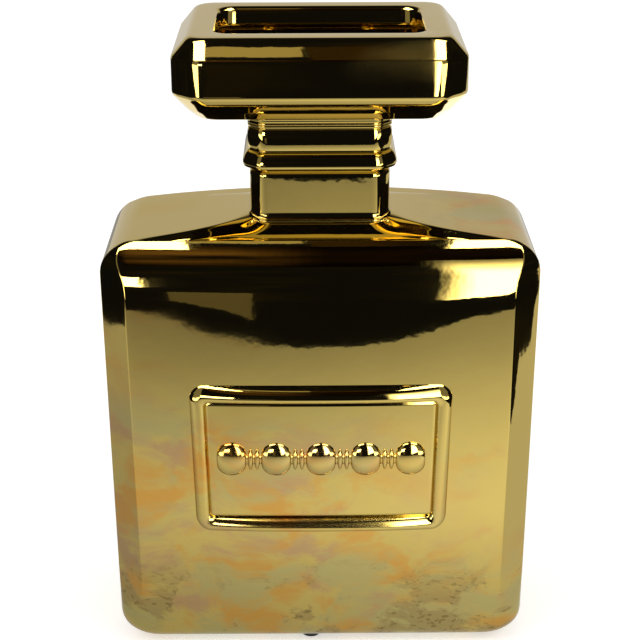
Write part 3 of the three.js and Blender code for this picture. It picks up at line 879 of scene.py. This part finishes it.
def reflected(name, bm, colour, strength, fades=(), cloud=None):
    """Glowing card that only shows in reflections. Each fade dims it along an axis, from one level to
    another, and soft clouds of a second colour may drift over it."""
    material, tree, shader = new_material(name)
    tree.nodes.remove(shader)
    place = add(tree, "ShaderNodeTexCoord").outputs["Object"]
    axes = add(tree, "ShaderNodeSeparateXYZ", {"Vector": place}).outputs
    tint = linear(colour)
    if cloud:
        drift = noise(tree, place, ROOM_CLOUD_SIZE, 3.0)["Fac"]
        tint = mix(tree, ramp(tree, drift, *ROOM_CLOUD_EDGE, soft=True), tint, linear(cloud))
    glow = strength
    for fade in fades:
        level = ramp(tree, axes[fade.axis], fade.start, fade.end, fade.first, fade.last, soft=True)
        glow = calculate(tree, "MULTIPLY", glow, level)
    light = add(tree, "ShaderNodeEmission", {"Color": tint, "Strength": glow})
    tree.links.new(light.outputs["Emission"], tree.nodes["Material Output"].inputs["Surface"])
    card = stage_object(name, bm, material)
    card.visible_camera = False
    card.visible_diffuse = False
    card.visible_transmission = False
    card.visible_shadow = False


def sheet_of(low, high, drop=0.0):
    """Flat card between two corners that share one coordinate. Its lower or front edge may drop towards
    the right."""
    low, high = Vector(low), Vector(high)
    middle = (low + high) / 2
    bm = bmesh.new()
    bmesh.ops.create_grid(bm, x_segments=1, y_segments=1, size=0.5)
    if low.y == high.y:
        bmesh.ops.rotate(bm, matrix=Matrix.Rotation(math.pi / 2, 3, "X"), verts=bm.verts[:])
    size = [max(side, MM) for side in high - low]
    bmesh.ops.scale(bm, vec=size, verts=bm.verts[:])
    bmesh.ops.translate(bm, vec=middle, verts=bm.verts[:])
    axis = 1 if low.z == high.z else 2
    for vert in bm.verts:
        if vert.co.x > middle.x and vert.co[axis] < middle[axis]:
            vert.co[axis] -= drop
    return bm


def background_rays(tree):
    """1 for rays that should see the white background: from the camera, mirrors and glass."""
    rays = add(tree, "ShaderNodeLightPath").outputs
    seen = calculate(tree, "MAXIMUM", rays["Is Camera Ray"], rays["Is Glossy Ray"])
    return calculate(tree, "MAXIMUM", seen, rays["Is Transmission Ray"])


def white_floor():
    """White paper with the vase's shadow, lifted to white. Reflections see the table card instead."""
    material, tree, shader = new_material("floor_paper")
    shader.inputs["Roughness"].default_value = 0.9
    shader.inputs["Specular IOR Level"].default_value = 0.0
    shader.inputs["Base Color"].default_value = linear("#F4F4F2")
    shader.inputs["Emission Color"].default_value = (1, 1, 1, 1)
    lift = calculate(tree, "MULTIPLY", background_rays(tree), FLOOR_GLOW)
    tree.links.new(lift, shader.inputs["Emission Strength"])
    paper = sheet_of((-FLOOR_SIZE, -FLOOR_SIZE, 0), (FLOOR_SIZE, FLOOR_SIZE, 0))
    floor = stage_object("white_floor", paper, material)
    floor.visible_glossy = False


def dark_room():
    """Sphere round everything, with faint brown clouds."""
    bm = bmesh.new()
    around, upward = ROOM_SEGMENTS
    bmesh.ops.create_uvsphere(bm, u_segments=around, v_segments=upward, radius=ROOM_RADIUS)
    reflected("dark_room", bm, DARK, 1.0, cloud="#242019")


def painted_shadow_spot():
    """Painted shadow: a dark disc before the table's front edge, under the camera, seen only in reflections.
    """
    bm = bmesh.new()
    bmesh.ops.create_circle(bm, cap_ends=True, segments=SPOT_SEGMENTS, radius=SPOT_RADIUS)
    bmesh.ops.scale(bm, vec=SPOT_SHAPE, verts=bm.verts[:])
    bmesh.ops.translate(bm, vec=SPOT_PLACE, verts=bm.verts[:])
    reflected("painted_shadow_spot", bm, DARK, 1.0)


def lamp(name, place):
    """Soft lamp that only lights the floor and the pads: neither camera nor mirrors see it."""
    light = bpy.data.lights.new(name, "AREA")
    light.size = LAMP_SIZE
    light.energy = LAMP_ENERGY
    made = bpy.data.objects.new(name, light)
    made.location = place
    made.rotation_euler = (LAMP_TARGET - Vector(place)).to_track_quat("-Z", "Y").to_euler()
    made.visible_glossy = False
    made.visible_camera = False
    bpy.context.scene.collection.objects.link(made)


def white_world():
    world = bpy.data.worlds.new("studio_white")
    bpy.context.scene.world = world
    world.use_nodes = True
    tree = world.node_tree
    strength = ramp(tree, background_rays(tree), 0.0, 1.0, SHADE_LIGHT, 1.0)
    tree.links.new(strength, tree.nodes["Background"].inputs["Strength"])
    tree.nodes["Background"].inputs["Color"].default_value = (1, 1, 1, 1)


white_floor()
dark_room()
# Painted shadow at the table's front edge, for reflections
painted_shadow_spot()
white_world()
SIDE_FADE = Fade("Z", 0.05, 0.2, 1.0, 0.06)
CARDS = {
    # Table, dimmer at its front edge, to the left and in the shadow before the vase, brightest behind it
    "table": Card(
        (-0.42, -0.44, TABLE_Z), (TABLE_RIGHT, BACKDROP_Y, TABLE_Z), PAPER, 1.0,
        fades=(
            Fade("Y", -0.44, -0.14, 0.35, 0.95),
            Fade("Y", -0.16, -0.04, 1.0, 0.62),
            Fade("X", -0.12, 0.12, 0.92, 1.32),
            Fade("Y", 0.1, 0.2, 1.0, 2.4),
            Fade("Y", 0.42, 0.55, 1.0, 0.26),
        ),
    ),
    # Its right end, with a front edge that slants back and leaves a dark wedge in the right side bevel
    "table_right": Card(
        (TABLE_RIGHT, -0.0152, TABLE_Z), (0.78, BACKDROP_Y, TABLE_Z), PAPER, 0.78, drop=-0.15,
    ),
    # Backdrop behind, falling off upwards
    "backdrop": Card(
        (-2.0, BACKDROP_Y, -0.1), (2.0, BACKDROP_Y, 1.5), WHITE, 0.68,
        fades=(Fade("Z", 0.9, 1.4, 1.0, 0.1),),
    ),
    # Upright softboxes left and right of the camera, and a dim card between the left one and the camera
    "softbox_left": Card((-0.4, SOFTBOX_Y, 0.12), (-0.152, SOFTBOX_Y, 0.3), WHITE, 9.0),
    "softbox_right": Card(
        (0.11, SOFTBOX_Y, -0.02), (0.4, SOFTBOX_Y, 0.95), WHITE, 9.0, drop=-0.12,
        fades=(Fade("X", 0.11, 0.15, 0.0, 1.0), Fade("Z", 0.35, 0.95, 1.0, 0.05)),
    ),
    "dim_card_left": Card(
        (-0.106, DIM_CARD_Y, 0.045), (-0.046, DIM_CARD_Y, 0.1), "#FFF4D8", 0.14, drop=0.05, cloud="#8A8058",
    ),
    # Tall softboxes further out, bright at the bottom only
    "side_left": Card((-1.4, SOFTBOX_Y, -0.06), (-0.4, SOFTBOX_Y, 1.6), WHITE, 5.0, fades=(SIDE_FADE,)),
    "side_right": Card((0.4, SOFTBOX_Y, -0.06), (1.4, SOFTBOX_Y, 1.6), WHITE, 5.0, fades=(SIDE_FADE,)),
    # Overhead softboxes, a dim one above the left half, and brown cards glowing as the lit ceiling
    "overhead_left": Card((-0.8, -0.5, OVERHEAD_Z), (-0.13, 0.2, OVERHEAD_Z), WHITE, 9.0),
    "overhead_right": Card((0.145, -0.5, OVERHEAD_Z), (0.8, 0.2, OVERHEAD_Z), WHITE, 9.0),
    "overhead_dim": Card((-0.125, -0.395, OVERHEAD_Z), (-0.01, -0.3, OVERHEAD_Z), "#FFF0C8", 0.55),
    "overhead_brown": Card(
        (-0.005, -0.44, OVERHEAD_Z), (0.12, -0.3, OVERHEAD_Z), "#5C4626", 0.4,
        fades=(Fade("X", 0.04, 0.12, 1.0, 0.3),),
    ),
    "ceiling_left": Card(
        (-0.32, -1.3, CEILING_Z), (0.4, -0.5, CEILING_Z), "#80603A", 1.0, cloud="#1C1712",
        fades=(
            Fade("X", -0.32, -0.2, 0.1, 1.0),
            Fade("X", -0.15, 0.02, 1.0, 0.05),
            Fade("Y", -1.3, -0.9, 0.1, 1.0),
            Fade("Y", -0.7, -0.5, 1.0, 0.2),
        ),
    ),
}
for card_name, card in CARDS.items():
    sheet = sheet_of(card.low, card.high, card.drop)
    reflected(card_name, sheet, card.colour, card.strength, card.fades, card.cloud)
lamp("key_left", (-0.9, -0.7, 1.2))
lamp("key_right", (0.9, -0.7, 1.2))

# Camera at the photo's viewing angle
CAMERA_ELEVATION = math.radians(21.8)
CAMERA_YAW = math.radians(-0.36)
CAMERA_ROLL = math.radians(-0.14)
CAMERA_DISTANCE = 0.6765
CAMERA_TARGET = Vector((0, 0, 0.1289))
CAMERA_LENS = 94.9  # on a 36 mm sensor, for a square picture

camera_data = bpy.data.cameras.new("camera")
camera_data.lens = CAMERA_LENS
camera_data.sensor_width = 36
camera = bpy.data.objects.new("camera", camera_data)
bpy.context.scene.collection.objects.link(camera)
bpy.context.scene.camera = camera
back = Vector((
    math.sin(CAMERA_YAW) * math.cos(CAMERA_ELEVATION),
    -math.cos(CAMERA_YAW) * math.cos(CAMERA_ELEVATION),
    math.sin(CAMERA_ELEVATION),
))
aim = back.to_track_quat("Z", "Y").to_matrix().to_4x4()
stand = Matrix.Translation(CAMERA_TARGET + back * CAMERA_DISTANCE)
camera.matrix_world = stand @ aim @ Matrix.Rotation(CAMERA_ROLL, 4, "Z")

bpy.context.scene.view_settings.view_transform = "Standard"
